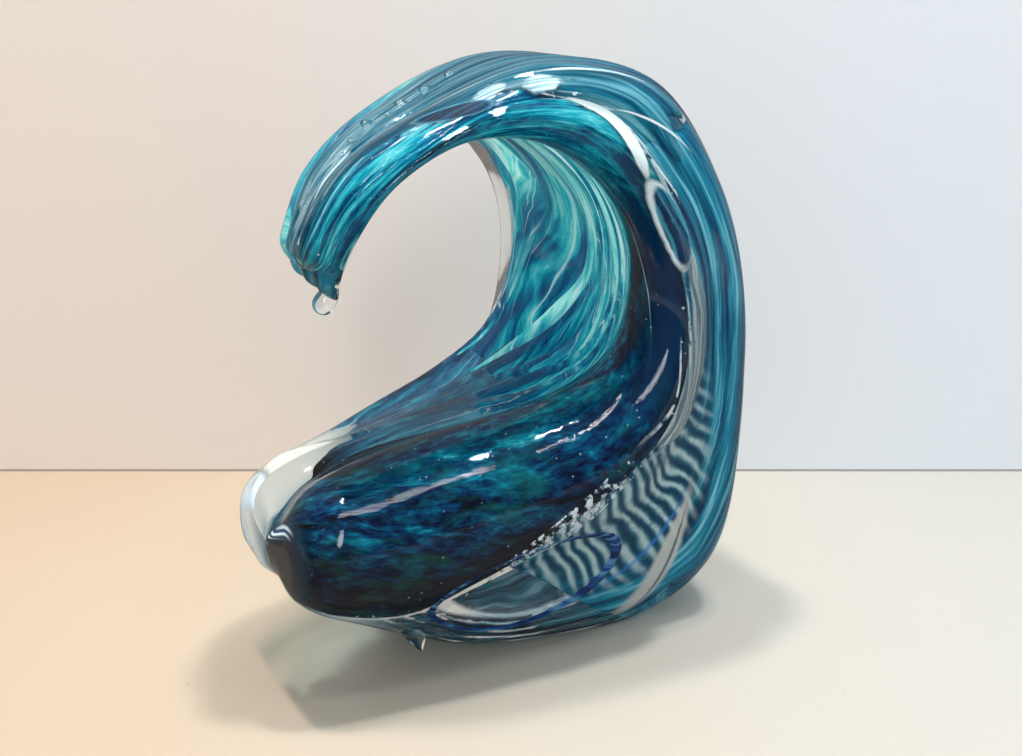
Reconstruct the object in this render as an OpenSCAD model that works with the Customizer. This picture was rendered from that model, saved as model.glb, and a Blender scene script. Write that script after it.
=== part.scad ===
// Breaking wave in hot-worked glass: clear gathers over coloured cores.
// X runs from the toe to the back, Y from the near roll to the far edge, Z up.
// The origin is on the ground foot, under the hollow of the curl.

/* [Whole wave] */
// Length from the end of the toe to the back of the curl
wave_l = 139; // [120:1:160]
// Depth from the near roll to the far edge
wave_d = 86; // [76:1:98]
// Height from the ground foot to the top of the curl
wave_h = 158; // [140:1:180]

/* [Rolls of the clear casing] */
// Radius of the near roll at its fullest, in the toe
near_roll_r = 21; // [17:0.5:24]
// Radius of the second roll at its fullest, in the toe
second_roll_r = 20; // [16:0.5:23]
// Radius of the roll along the far edge at its fullest
far_roll_r = 12; // [9:0.5:14]
// Depth of the valley between the rolls in the hollow face
valley_depth = 12; // [8:0.5:14]
// Set back of the flank below the near roll
flank_setback = 7; // [4:0.5:9]
// Radius with which one roll melts into the next
melt_r = 2.2; // [1:0.1:4]
// Largest radius of the body's rounded edges
body_edge_r = 22; // [14:1:28]

/* [Coloured gathers] */
// Clear wall over the dark core of the near roll
roll_wall = 3; // [2.4:0.1:4.5]
// Thickness of the near roll's core towards the heart, beyond a sheet
roll_core_t = 26; // [16:1:32]
// Thickness of the toe lobe's core towards the heart, beyond a sheet
lobe_core_t = 20; // [12:1:26]
// Clear cover over the turquoise face
face_cover = 3.2; // [2.6:0.1:4.5]
// Thickness of the turquoise face sheet and its canes
face_t = 4.5; // [2.5:0.25:6]
// Clear cover over the back, the foot and the crest
back_cover = 5; // [4:0.25:6.5]
// Thickness of the back, foot and crest sheets
back_t = 4; // [2.5:0.25:6]
// Width of a pale cane against the turquoise strip beside it
cane_share = 0.35; // [0.2:0.05:0.6]
// Clear cover over the far edge
far_cover = 4; // [3:0.25:5.5]

/* [Pulled clear ends] */
// Height to which the fin stands from the far edge
fin_h = 6; // [3:0.5:9]
// Thickness of the fin along its free edge
fin_t = 1.6; // [1:0.1:2.4]
// Length of the fingers below the end of the crest
finger_l = 3; // [2:0.5:6]
// Bend of the fingers towards the hollow
finger_bend = 4; // [0:0.5:5]
// Radius of the near finger where it leaves the crest
finger_r = 4.2; // [3.4:0.1:4.8]
// Diameter of the drop at the end of the near finger
drop_d = 5.6; // [5:0.2:7]

/* [Hidden] */

// Size that the outline below is drawn at: length, depth, height
drawn = [139, 86, 158];
// Depth of the ground foot's cut into the rounded underside
foot_cut = 20;

// Upper and hollow side of the wave, from the toe to the tip: x, z
inner_line = [[-80, 42], [-77.5, 50], [-70, 57], [-54, 61], [-34, 65], [-13, 69], [4, 75], [14, 86],
              [18, 101], [14, 117], [3, 130], [-14, 138], [-34, 138], [-51, 129], [-60, 116], [-63, 105.5]];
// Underside and back of the wave, opposite the points above: x, z
outer_line = [[-80, 36], [-78, 30], [-69, 22], [-51, 11], [-32, 2], [-8, -2.2], [26, -2.2], [50, 13],
              [59, 50], [59, 88], [50, 122], [30, 150], [-5, 157], [-38, 146], [-61, 131], [-71, 111]];
// Near and far sides of the same sections: y
near_side = [-22, -30, -35, -37, -38, -38, -37, -36, -34, -33, -31, -30, -29, -28, -25, -20];
far_side = [16, 23, 29, 36, 42, 46, 48, 48, 47, 45, 42, 37, 31, 24, 15, 6];
// Fullness of each roll along the wave, as a share of its fullest radius
near_full = [0.2, 0.5, 0.8, 0.98, 1, 0.95, 0.86, 0.71, 0.64, 0.6, 0.57, 0.52, 0.5, 0.45, 0.38, 0.28];
second_full = [0.2, 0.55, 0.85, 1, 1, 0.9, 0.7, 0.5, 0.4, 0.35, 0.35, 0.4, 0.45, 0.45, 0.35, 0.25];
far_full = [0.2, 0.55, 0.75, 0.85, 0.9, 1, 1, 0.9, 0.75, 0.65, 0.6, 0.5, 0.45, 0.4, 0.3, 0.25];
// Sink of each roll below the upper line, or its rise where negative
near_sink = [0, 0, 0, 0, 0, 1, 2, 3, 3, 2, 1, 0, 0, 0, 0, 0];
second_sink = [0, 0, 0, 1, 2, 4, 7, 9, 10, 9, 6, 4, 2, 1, 0, 0];
far_sink = [3, 6, 8, 8, 6, 3, -1, -5, -8, -8, -5, -2, 0, 1, 2, 3];
// Place of the second roll across the wave: y
second_y = [8, 9, 10, 11, 12, 13, 14, 15, 15, 14, 12, 8, 5, 2, -2, -6];
// Depth of the valley and set back of the flank along the wave, as shares
valley_full = [0.2, 0.4, 0.6, 0.7, 0.75, 0.85, 0.9, 1, 1, 0.9, 0.7, 0.5, 0.35, 0.25, 0.2, 0.2];
setback_full = [0.5, 0.7, 0.85, 1, 1, 1, 0.85, 0.7, 0.6, 0.6, 0.45, 0.45, 0.45, 0.45, 0.4, 0.4];
// Narrowing of the body towards its back
back_taper = 0.14;

// Sections along the whole wave
rings = 60;

// Sections between which the coloured gathers lie inside the casing
core_from = 4;
core_to = 56;
// Sections at which one gather gives way to the next
lobe_end = 23;
window_end = 24;
back_start = 25;
back_end = 42;
// Points round a section: last point of the back, ribbon, flank, seam, roll, face and far edge
canes = 5;
back_i = 8;
ribbon_i = 9;
flank_i = 10;
seam_i = 11;
roll_i = 20;
face_i = roll_i + 2 * canes + 1;
far_i = face_i + 6;
// Angles round a section: start of the back, and the ribbon and the seam trail from the seam
back_a = -150;
ribbon_low = 24;
ribbon_high = 15;
seam_low = 5;
seam_high = 3;
// Largest share of a section's radius that a gather may take
core_share = 0.72;

// Value of a list of evenly spaced keys at t from 0 to 1, on a smooth curve
function key(list, t) =
    let (n = len(list) - 1, x = min(max(t, 0), 1) * n, i = min(floor(x), n - 1), f = x - i,
         a = list[max(i - 1, 0)], b = list[i], c = list[i + 1], d = list[min(i + 2, n)])
    0.5 * (2 * b + (c - a) * f + (2 * a - 5 * b + 4 * c - d) * f * f
           + (3 * b - a - 3 * c + d) * f * f * f);

function sized_xz(p) = [p[0] * wave_l / drawn[0], p[1] * wave_h / drawn[2]];
function sized_y(y) = y * wave_d / drawn[1];

// All that a section needs, worked out once for its place along the wave
function section_at(t) =
    let (i = sized_xz(key(inner_line, t)), o = sized_xz(key(outer_line, t)), half = norm(i - o) / 2,
         yn = sized_y(key(near_side, t)), yf = sized_y(key(far_side, t)),
         rn = near_roll_r * key(near_full, t), r2 = second_roll_r * key(second_full, t),
         rf = far_roll_r * key(far_full, t), dip = valley_depth * key(valley_full, t),
         sn = key(near_sink, t), s2 = key(second_sink, t), sf = key(far_sink, t))
    [(i + o) / 2, (i - o) / (2 * half), half, yn, yf,
     [yn + rn, half - rn - sn, rn],
     [sized_y(key(second_y, t)), half - r2 - s2, r2],
     [yf - rf, half - rf - sf, rf],
     dip, flank_setback * key(setback_full, t)];
function mid_y(s) = (s[3] + s[4]) / 2;

function round_gap(c, y, v) = norm([y - c[0], v - c[1]]) - c[2];
// Distance to the band of glass that runs from disc a to disc b
function band_gap(a, b, y, v) =
    let (way = [b[0] - a[0], b[1] - a[1]], f = ([y - a[0], v - a[1]] * way) / (way * way + 0.001),
         g = min(max(f, 0), 1))
    norm([y - a[0] - way[0] * g, v - a[1] - way[1] * g]) - a[2] - (b[2] - a[2]) * g;
function body_gap(s, y, v) =
    let (half = s[2], low = s[3] + s[9], high = s[4] - 1, tall = half - s[8] / 2,
         edge = min(tall * 0.9, (high - low) * 0.45, body_edge_r),
         ay = abs(y - (low + high) / 2) - ((high - low) / 2 - edge) * (1 + back_taper * v / half),
         av = abs(v + s[8] / 2) - (tall - edge))
    norm([max(ay, 0), max(av, 0)]) + min(max(ay, av), 0) - edge;
// Distance to the melted union of the rolls and the body, negative inside
function glass_gap(s, y, v) =
    let (g = [round_gap(s[5], y, v), band_gap(s[6], s[7], y, v), body_gap(s, y, v)], m = min(g))
    m - melt_r * ln(exp((m - g[0]) / melt_r) + exp((m - g[1]) / melt_r) + exp((m - g[2]) / melt_r));
// Radius of the skin at angle a, 0 towards the viewer and 90 towards the hollow
function skin_r(s, a, low = 0, high = wave_d, steps = 12) =
    let (r = (low + high) / 2)
    steps == 0 ? r
    : glass_gap(s, mid_y(s) - r * cos(a), r * sin(a)) < 0
        ? skin_r(s, a, r, high, steps - 1)
        : skin_r(s, a, low, r, steps - 1);

// Point of a section at depth y and height v above the section's middle
function place(s, y, v) = [s[0][0] + s[1][0] * v, y, s[0][1] + s[1][1] * v];
function polar(s, a, r) = [mid_y(s) - r * cos(a), r * sin(a)];

// Closed solid through rings of points, each ring turning from the near side to the hollow.
// The first sides of a ring split their faces one way and the others the other way.
module loft(rings, first = 1000) {
    n = len(rings);
    m = len(rings[0]);
    side_faces = [for (k = [0 : n - 2], j = [0 : m - 1])
        let (a = k * m + j, b = k * m + (j + 1) % m, c = b + m, d = a + m)
        each j < first ? [[a, b, c], [a, c, d]] : [[a, b, d], [b, c, d]]];
    // Each end is closed by strips across it, so that a bent section stays bent
    last = (n - 1) * m;
    end_faces = [for (a = [0 : floor((m - 1) / 2) - 1])
        let (b = a + 1, c = m - 2 - a, d = m - 1 - a)
        each concat([[d, c, a], [last + a, last + c, last + d]],
                    b == c ? [] : [[c, b, a], [last + a, last + b, last + c]])];
    polyhedron([for (r = rings) each r], concat(side_faces, end_faces));
}

// Round section about [y, v]
function disc(s, c, r, m) =
    [for (j = [0 : m - 1]) place(s, c[0] - r * cos(360 * j / m), c[1] + r * sin(360 * j / m))];
function share(a, b, i, n) = a + (b - a) * i / n;
function positive(a) = a < 0 ? a + 360 : a;

// Angles at which the gathers meet in a section
function seam_angle(s) = atan2(s[5][1] - s[5][2] - melt_r, mid_y(s) - s[3] - s[9]);
function face_start(s) = atan2(s[2] - s[8], mid_y(s) - (s[3] + 2 * s[5][2] - roll_wall));
function face_end(s) = positive(atan2(s[7][1], mid_y(s) - (s[4] - far_cover)));
// Share of the face covered up to point i: turquoise strips with a cane between two of them
function face_share(i) = (ceil(i / 2) + floor(i / 2) * cane_share) / (canes + 1 + canes * cane_share);
function layer_angles(s) =
    let (seam = seam_angle(s), fs = face_start(s), fe = face_end(s))
    concat([for (i = [0 : back_i]) share(back_a, seam - ribbon_low, i, back_i)],
           [seam - ribbon_high, seam - seam_low, seam + seam_high],
           [for (i = [1 : roll_i - seam_i]) share(seam + seam_high, fs, i, roll_i - seam_i)],
           [for (i = [1 : face_i - roll_i]) fs + (fe - fs) * face_share(i)],
           [for (i = [1 : far_i - face_i - 1]) share(fe, back_a + 360, i, far_i - face_i)]);
function cover_at(i) =
    i <= flank_i ? back_cover : i <= roll_i ? roll_wall : i <= face_i ? face_cover : far_cover;
// Thickness of the layer at point i, k sections along
function depth_at(i, k) =
    i <= seam_i ? back_t
    : i <= roll_i ? let (f = (i - seam_i) / (roll_i - seam_i))
        share(back_t, face_t, f, 1) + roll_core_t * sin(180 * f)
    : i <= face_i ? let (f = (i - roll_i) / (face_i - roll_i), left = max(0, 1 - (k - core_from) / lobe_end))
        face_t + lobe_core_t * sin(180 * f) * min(1, 2 * left)
    : share(face_t, back_t, (i - face_i) / (far_i - face_i), 1);

// Points of the gathers' outside and of the heart, for every section
function core_section(k) =
    let (s = section_at(k / rings), a = layer_angles(s))
    [for (i = [0 : far_i - 1])
        let (r = skin_r(s, a[i]) - cover_at(i), d = min(depth_at(i, k), core_share * r),
             p = polar(s, a[i], r), q = polar(s, a[i], r - d))
        [place(s, p[0], p[1]), place(s, q[0], q[1])]];
// The gather that fills points i0 to i1 of sections k0 to k1
module gather(i0, i1, k0 = core_from, k1 = core_to) {
    loft([for (k = [k0 : k1]) let (c = core_section(k))
        concat([for (i = [i0 : i1]) c[i % far_i][0]], [for (i = [i1 : -1 : i0]) c[i % far_i][1]])],
        first = i1 - i0 + 1);
}
module gathered_whole() {
    loft([for (k = [core_from : core_to]) [for (c = core_section(k)) c[0]]]);
}

function skin_ring(k) =
    let (s = section_at(k / rings))
    [for (a = layer_angles(s)) let (q = polar(s, a, skin_r(s, a))) place(s, q[0], q[1])];
module casing_skin() {
    loft([for (k = [0 : rings]) skin_ring(k)]);
}
module ground_cut() {
    translate([0, 0, -foot_cut / 2]) cube([2 * wave_l, 2 * wave_d, foot_cut], center = true);
}

module clear_casing() {
    color("azure", 0.4) difference() {
        casing_skin();
        ground_cut();
        gathered_whole();
    }
}
module clear_heart() {
    color("azure", 0.4) loft([for (k = [core_from : core_to]) [for (c = core_section(k)) c[1]]]);
}
module near_roll_core() { color("midnightblue") gather(seam_i, roll_i); }
module toe_lobe_core() { color("darkslateblue") gather(roll_i, face_i, core_from, lobe_end); }
module face_sheet() {
    color("turquoise") for (i = [0 : canes]) gather(roll_i + 2 * i, roll_i + 2 * i + 1, lobe_end);
}
module pale_canes() {
    color("mintcream") for (i = [1 : canes]) gather(roll_i + 2 * i - 1, roll_i + 2 * i, lobe_end);
}
module white_frit_trail() { color("white") gather(flank_i, seam_i); }
module clear_far_edge() { color("azure", 0.4) gather(face_i, far_i); }
module foot_window() { color("azure", 0.4) gather(0, flank_i, core_from, window_end); }
module window_trail() { color("royalblue") gather(0, flank_i, window_end, back_start); }
module back_sheet() {
    color("teal") {
        gather(0, back_i, back_start, back_end);
        gather(ribbon_i, flank_i, back_start, back_end);
    }
}
module pale_ribbon() { color("lightblue") gather(back_i, ribbon_i, back_start, back_end); }
module crest_sheet() { color("cadetblue") gather(0, flank_i, back_end); }

// The fin stands on the same skin points as the casing
fin_rings = [25, 43];
fin_side = face_i - 1;
module far_fin() {
    color("azure", 0.4) loft([for (k = [fin_rings[0] : fin_rings[1]])
        let (s = section_at(k / rings), angles = layer_angles(s),
             f = (k - fin_rings[0]) / (fin_rings[1] - fin_rings[0]),
             a = polar(s, angles[fin_side], skin_r(s, angles[fin_side])),
             b = polar(s, angles[fin_side + 1], skin_r(s, angles[fin_side + 1])),
             along = (b - a) / norm(b - a), out = [-along[1], along[0]],
             mid = (a + b) / 2 + out * (fin_t / 2 + fin_h * sin(180 * f)))
        [for (p = [mid - along * fin_t / 2, mid + along * fin_t / 2, b, a]) place(s, p[0], p[1])]],
        first = 2);
}

// Fingers pulled from the end of the crest: place across it, fullness, length as a share
finger_list = [[-15.6, 1, 1], [-6.8, 0.85, 0.75], [0.8, 0.7, 0.5]];
finger_rings = 7;
finger_sides = 10;
tip = section_at(1);
tip_way = [tip[1][1], 0, -tip[1][0]];
function finger_mid(f, g) = [sized_y(f[0]), finger_bend * f[2] * g * g];
module finger(f) {
    loft([for (k = [0 : finger_rings])
        let (g = k / finger_rings, r = f[1] * finger_r * (1 - 0.45 * g * g))
        [for (p = disc(tip, finger_mid(f, g), r, finger_sides)) p + tip_way * finger_l * f[2] * g]]);
}
module crest_fingers() {
    color("azure", 0.4) for (f = finger_list) finger(f);
}
module crest_drop() {
    c = finger_mid(finger_list[0], 1);
    end = place(tip, c[0], c[1]) + tip_way * finger_l;
    turn = atan2(tip_way[0], tip_way[2]);
    color("azure", 0.4) translate(end) rotate([0, turn, 0]) difference() {
        translate([0, 0, drop_d * 0.3]) sphere(d = drop_d, $fn = 32);
        translate([0, 0, -drop_d]) cube(2 * drop_d, center = true);
    }
}

clear_casing();
clear_heart();
near_roll_core();
toe_lobe_core();
face_sheet();
pale_canes();
white_frit_trail();
clear_far_edge();
foot_window();
window_trail();
back_sheet();
pale_ribbon();
crest_sheet();
far_fin();
crest_fingers();
crest_drop();
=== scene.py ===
"""A breaking wave of hot-worked glass: coloured gathers and trails under a clear casing."""

import math

import bmesh
import bpy
import numpy as np
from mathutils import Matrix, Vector


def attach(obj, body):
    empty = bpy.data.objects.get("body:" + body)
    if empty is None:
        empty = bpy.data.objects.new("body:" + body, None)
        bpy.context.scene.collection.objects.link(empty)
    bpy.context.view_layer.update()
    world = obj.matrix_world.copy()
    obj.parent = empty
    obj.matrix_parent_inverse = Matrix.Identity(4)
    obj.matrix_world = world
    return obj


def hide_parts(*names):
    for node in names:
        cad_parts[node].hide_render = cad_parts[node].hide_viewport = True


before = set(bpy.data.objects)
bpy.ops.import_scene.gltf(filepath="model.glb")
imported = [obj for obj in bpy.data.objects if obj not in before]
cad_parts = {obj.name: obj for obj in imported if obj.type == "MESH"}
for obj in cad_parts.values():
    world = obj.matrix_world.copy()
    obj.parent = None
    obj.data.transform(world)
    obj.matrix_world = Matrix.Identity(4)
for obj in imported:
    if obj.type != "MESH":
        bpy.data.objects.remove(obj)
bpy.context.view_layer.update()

MM = 0.001
# Length of the glass along the middle of the wave, and round a full section, in mm
WAVE_RUN = 317
GIRTH = 250

# Sections of the wave from the toe to the tip, in mm: the hollow side and the outer side (x, z)
HOLLOW_LINE = [(-80, 42), (-77.5, 50), (-70, 57), (-54, 61), (-34, 65), (-13, 69), (4, 75), (14, 86),
               (18, 101), (14, 117), (3, 130), (-14, 138), (-34, 138), (-51, 129), (-60, 116), (-63, 105.5)]
OUTER_LINE = [(-80, 36), (-78, 30), (-69, 22), (-51, 11), (-32, 2), (-8, -2.2), (26, -2.2), (50, 13),
              (59, 50), (59, 88), (50, 122), (30, 150), (-5, 157), (-38, 146), (-61, 131), (-71, 111)]
NEAR_SIDE = [-22, -30, -35, -37, -38, -38, -37, -36, -34, -33, -31, -30, -29, -28, -25, -20]
FAR_SIDE = [16, 23, 29, 36, 42, 46, 48, 48, 47, 45, 42, 37, 31, 24, 15, 6]
# Each roll's fullest radius, its fullness along the wave and its sink below the hollow line
NEAR_ROLL = (21, [0.2, 0.5, 0.8, 0.98, 1, 0.95, 0.86, 0.71, 0.64, 0.6, 0.57, 0.52, 0.5, 0.45, 0.38, 0.28],
             [0, 0, 0, 0, 0, 1, 2, 3, 3, 2, 1, 0, 0, 0, 0, 0])
SECOND_ROLL = (20, [0.2, 0.55, 0.85, 1, 1, 0.9, 0.7, 0.5, 0.4, 0.35, 0.35, 0.4, 0.45, 0.45, 0.35, 0.25],
               [0, 0, 0, 1, 2, 4, 7, 9, 10, 9, 6, 4, 2, 1, 0, 0])
FAR_ROLL = (12, [0.2, 0.55, 0.75, 0.85, 0.9, 1, 1, 0.9, 0.75, 0.65, 0.6, 0.5, 0.45, 0.4, 0.3, 0.25],
            [3, 6, 8, 8, 6, 3, -1, -5, -8, -8, -5, -2, 0, 1, 2, 3])
SECOND_Y = [8, 9, 10, 11, 12, 13, 14, 15, 15, 14, 12, 8, 5, 2, -2, -6]
VALLEY = (12, [0.2, 0.4, 0.6, 0.7, 0.75, 0.85, 0.9, 1, 1, 0.9, 0.7, 0.5, 0.35, 0.25, 0.2, 0.2])
SETBACK = (7, [0.5, 0.7, 0.85, 1, 1, 1, 0.85, 0.7, 0.6, 0.6, 0.45, 0.45, 0.45, 0.45, 0.4, 0.4])
MELT = 2.2
BODY_EDGE = 22
BACK_TAPER = 0.14
# How many optic ribs, 3.7 mm apart, would fit along the whole wave and round it
RIBS_ALONG, RIBS_ROUND = 0.95 * WAVE_RUN / 3.7, 0.31 * GIRTH / 3.7
# Angle of the frit seam round a section, evenly from the toe to the tip, in degrees
SEAM = [-26, -30, -30, -26, -6, 12, 25, 27, 24, 22, 13, 4, -8, -20, -33, -42]


def key(values, t):
    """Value at t, from 0 to 1, on a smooth curve through evenly spaced values"""
    values = np.asarray(values, float)
    last = len(values) - 1
    x = np.clip(t, 0, 1) * last
    i = np.minimum(np.floor(x).astype(int), last - 1)
    f = (x - i)[:, None] if values.ndim == 2 else x - i
    a, b, c, d = values[np.maximum(i - 1, 0)], values[i], values[i + 1], values[np.minimum(i + 2, last)]
    return 0.5 * (2 * b + (c - a) * f + (2 * a - 5 * b + 4 * c - d) * f**2 + (3 * b - a - 3 * c + d) * f**3)


def smooth(low, high, x):
    f = np.clip((x - low) / (high - low), 0, 1)
    return f * f * (3 - 2 * f)


class Section:
    """The wave's cross section at each place t along it, in mm"""

    def __init__(self, t):
        hollow, outer = key(HOLLOW_LINE, t), key(OUTER_LINE, t)
        across = np.linalg.norm(hollow - outer, axis=1)
        self.middle, self.half = (hollow + outer) / 2, across / 2
        self.up = (hollow - outer) / across[:, None]
        self.near, self.far = key(NEAR_SIDE, t), key(FAR_SIDE, t)
        self.centre = (self.near + self.far) / 2
        roll, second, edge = (full * key(share, t) for full, share, _ in (NEAR_ROLL, SECOND_ROLL, FAR_ROLL))
        sink, sink2, sink3 = (key(low, t) for _, _, low in (NEAR_ROLL, SECOND_ROLL, FAR_ROLL))
        self.roll = (self.near + roll, self.half - roll - sink, roll)
        self.second = (key(SECOND_Y, t), self.half - second - sink2, second)
        self.edge = (self.far - edge, self.half - edge - sink3, edge)
        self.dip, self.setback = VALLEY[0] * key(VALLEY[1], t), SETBACK[0] * key(SETBACK[1], t)

    def gap(self, y, v):
        """Distance to the melted union of the rolls and the body, negative inside"""
        roll = np.hypot(y - self.roll[0], v - self.roll[1]) - self.roll[2]
        a, b = self.second, self.edge
        way, rise = b[0] - a[0], b[1] - a[1]
        f = np.clip(((y - a[0]) * way + (v - a[1]) * rise) / (way**2 + rise**2 + 0.001), 0, 1)
        band = np.hypot(y - a[0] - way * f, v - a[1] - rise * f) - a[2] - (b[2] - a[2]) * f
        low, high, tall = self.near + self.setback, self.far - 1, self.half - self.dip / 2
        edge = np.minimum(np.minimum(tall * 0.9, (high - low) * 0.45), BODY_EDGE)
        wide = (high - low) / 2 - edge
        ay = np.abs(y - (low + high) / 2) - wide * (1 + BACK_TAPER * v / self.half)
        av = np.abs(v + self.dip / 2) - (tall - edge)
        body = np.hypot(np.maximum(ay, 0), np.maximum(av, 0)) + np.minimum(np.maximum(ay, av), 0) - edge
        all_gaps = np.array([roll, band, body])
        least = all_gaps.min(0)
        return least - MELT * np.log(np.exp((least - all_gaps) / MELT).sum(0))

    def skin(self, angle):
        """Radius of the casing at an angle: 0 faces the near side, 90 the hollow, -90 the outer side"""
        c, s = np.cos(np.radians(angle)), np.sin(np.radians(angle))
        low, high = np.zeros(len(angle)), np.full(len(angle), 86.0)
        for _ in range(16):
            r = (low + high) / 2
            inside = self.gap(self.centre - r * c, r * s) < 0
            low, high = np.where(inside, r, low), np.where(inside, high, r)
        return (low + high) / 2

    def place(self, angle, r):
        """Points in metres; the ground foot is the flat cut at the floor"""
        y, v = self.centre - r * np.cos(np.radians(angle)), r * np.sin(np.radians(angle))
        x, z = self.middle[:, 0] + self.up[:, 0] * v, self.middle[:, 1] + self.up[:, 1] * v
        return np.stack([x, y, np.maximum(z, 0)], -1) * MM

    def face_start(self):
        low = self.near + 2 * self.roll[2] - 3
        return np.degrees(np.arctan2(self.half - self.dip, self.centre - low))

    def face_end(self):
        angle = np.degrees(np.arctan2(self.edge[1], self.centre - self.far + 4))
        return np.where(angle < 0, angle + 360, angle)


def seam(t):
    return key(SEAM, t)


def valleys(t, angle, section):
    """Flow ridges fan over the hollow face, with narrow valleys between round backs"""
    start, end = section.face_start(), section.face_end()
    f = (angle - start) / (end - start)
    sweep = f + 0.05 * np.sin(9 * t + 1.1) + 0.018 * np.sin(31 * t + 14 * f)
    valley = (0.5 + 0.5 * np.cos(2 * math.pi * 8.5 * sweep)) ** 1.6
    return smooth(0.03, 0.16, f) * smooth(0.98, 0.86, f) * smooth(0.2, 0.4, t) * smooth(1, 0.9, t) * valley


def folds(t, angle, section):
    """Depth in mm of the flow ridges, optic ribs and hand waves, below the plain skin"""
    depth = 1.3 * valleys(t, angle, section)
    # Optic ribs on the flank under the seam
    under = seam(t) - angle
    rib = 0.5 + 0.5 * np.cos(2 * math.pi * (RIBS_ALONG * t + RIBS_ROUND * angle / 360))
    rib *= smooth(2, 9, under) * smooth(52, 36, under) * smooth(0.3, 0.34, t) * smooth(0.56, 0.46, t)
    depth += 0.55 * rib
    # Long ropes over the crest
    ropes = (0.5 + 0.5 * np.cos(2 * math.pi * (angle / 24 + 0.5 * np.sin(8 * t)))) ** 1.5
    ropes *= 0.75 + 0.25 * np.sin(52 * t + 0.11 * angle)
    depth += 1.3 * smooth(0.62, 0.78, t) * smooth(-140, -110, angle) * smooth(45, 20, angle) * ropes
    # Uneven hand of the maker
    hand = np.sin(17 * t + 0.05 * angle) * np.sin(0.041 * angle - 11 * t + 2)
    hand += 0.6 * np.sin(37 * t - 0.06 * angle + 1) * np.sin(0.09 * angle + 5 * t)
    return depth + 0.2 * (1.6 + hand)


def grid_piece(rows, columns, where, spots, inner=None):
    """A sheet of glass on the wave. where gives t and the angle for p along and q across the sheet,
    spots gives the points, and inner those of its inner side. Its map holds t and the share of a turn."""
    bm = bmesh.new()
    bmesh.ops.create_grid(bm, x_segments=rows, y_segments=columns, size=0.5)
    p_of, q_of = bm.verts.layers.float.new("along"), bm.verts.layers.float.new("across")
    flow = bm.loops.layers.uv.new("flow")
    for v in bm.verts:
        v[p_of], v[q_of] = v.co.x + 0.5, v.co.y + 0.5

    def settle(verts, points):
        p, q = np.array([(v[p_of], v[q_of]) for v in verts]).T
        t, angle = where(p, q)
        for v, at in zip(verts, points(t, angle, p, q)):
            v.co = at

    if inner:
        outer = bm.verts[:]
        made = bmesh.ops.extrude_face_region(bm, geom=bm.faces[:], use_keep_orig=True)
        settle([v for v in made["geom"] if isinstance(v, bmesh.types.BMVert)], inner)
        settle(outer, spots)
    else:
        settle(bm.verts[:], spots)
    p, q = np.array([(v[p_of], v[q_of]) for v in bm.verts]).T
    t, angle = where(p, q)
    fold = bm.verts.layers.float.new("fold")
    for v, deep in zip(bm.verts, valleys(t, angle, Section(t))):
        v[fold] = deep
    bm.verts.index_update()
    for face in bm.faces:
        face.smooth = True
        for loop in face.loops:
            i = loop.vert.index
            loop[flow].uv = (t[i], angle[i] / 360)
    bmesh.ops.remove_doubles(bm, verts=bm.verts, dist=0.00001)
    bmesh.ops.recalc_face_normals(bm, faces=bm.faces)
    return bm


def finished(bm, name, slot, material, *nodes, crease=35):
    """Turns a bmesh into a named piece that rides on the glass and takes the place of its CAD nodes"""
    mesh = bpy.data.meshes.new(name)
    bm.to_mesh(mesh)
    bm.free()
    mesh.set_sharp_from_angle(angle=math.radians(crease))
    mesh.materials.append(material)
    piece = bpy.data.objects.new(name, mesh)
    bpy.context.scene.collection.objects.link(piece)
    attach(piece, "root")
    if nodes:
        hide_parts(*nodes)
    return piece


def gather(rows, columns, along, across, cover, thick, rim=0.8, wave=0.25):
    """A coloured gather between two depths under the skin, with a rounded rim. along holds its ends,
    or gives them for q, and across gives the angles of its two edges for t."""

    def where(p, q):
        t0, t1 = along(q) if callable(along) else along
        t = t0 + (t1 - t0) * p
        a0, a1 = across(t)
        return t, a0 + (a1 - a0) * q

    def rounding(p, q):
        side = np.minimum(np.minimum(q, 1 - q) * columns / 3, np.minimum(p, 1 - p) * rows / 5)
        return 1 - np.sqrt(1 - (1 - np.clip(side, 0, 1)) ** 2)

    def at(deep):
        def points(t, angle, p, q):
            s = Section(t)
            r = s.skin(angle) - folds(t, angle, s) * 0.5
            th = thick(t, p, q) if callable(thick) else thick
            c = cover + wave * (1 + np.sin(23 * t + 0.13 * angle) * np.sin(41 * t - 0.07 * angle))
            bend = rounding(p, q) * rim
            low = np.minimum(c + (th - bend if deep else bend), 0.72 * r)
            return s.place(angle, r - low)
        return points

    return grid_piece(rows, columns, where, at(False), at(True))


# Nodes: they are added to the node tree begun last
trees = []


class Value:
    """An output of a node, to calculate with"""

    def __init__(self, socket):
        self.socket = socket

    def twin(self, name):
        """Another output of the same node"""
        return Value(self.socket.node.outputs[name])

    def __add__(self, other):
        return maths("ADD", self, other)

    def __sub__(self, other):
        return maths("SUBTRACT", self, other)

    def __rsub__(self, other):
        return maths("SUBTRACT", other, self)

    def __mul__(self, other):
        return maths("MULTIPLY", self, other)

    def __truediv__(self, other):
        return maths("DIVIDE", self, other)


def node(kind, values=None, out=0, **settings):
    """Adds a node, sets or links its inputs, and gives one of its outputs"""
    made = trees[-1].nodes.new("ShaderNode" + kind)
    for name, value in settings.items():
        setattr(made, name, value)
    for name, value in (values or {}).items():
        if isinstance(value, Value):
            trees[-1].links.new(value.socket, made.inputs[name])
        else:
            made.inputs[name].default_value = value
    return Value(made.outputs[out]) if made.outputs else None


def maths(operation, *values):
    return node("Math", dict(enumerate(values)), operation=operation)


def largest(most, *others):
    """The largest of several values"""
    for value in others:
        most = maths("MAXIMUM", most, value)
    return most


def tone(code):
    """Linear colour from a written sRGB one, such as 0a6478"""
    parts = [int(code[i : i + 2], 16) / 255 for i in (0, 2, 4)]
    return (*[c / 12.92 if c <= 0.04045 else ((c + 0.055) / 1.055) ** 2.4 for c in parts], 1)


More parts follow.
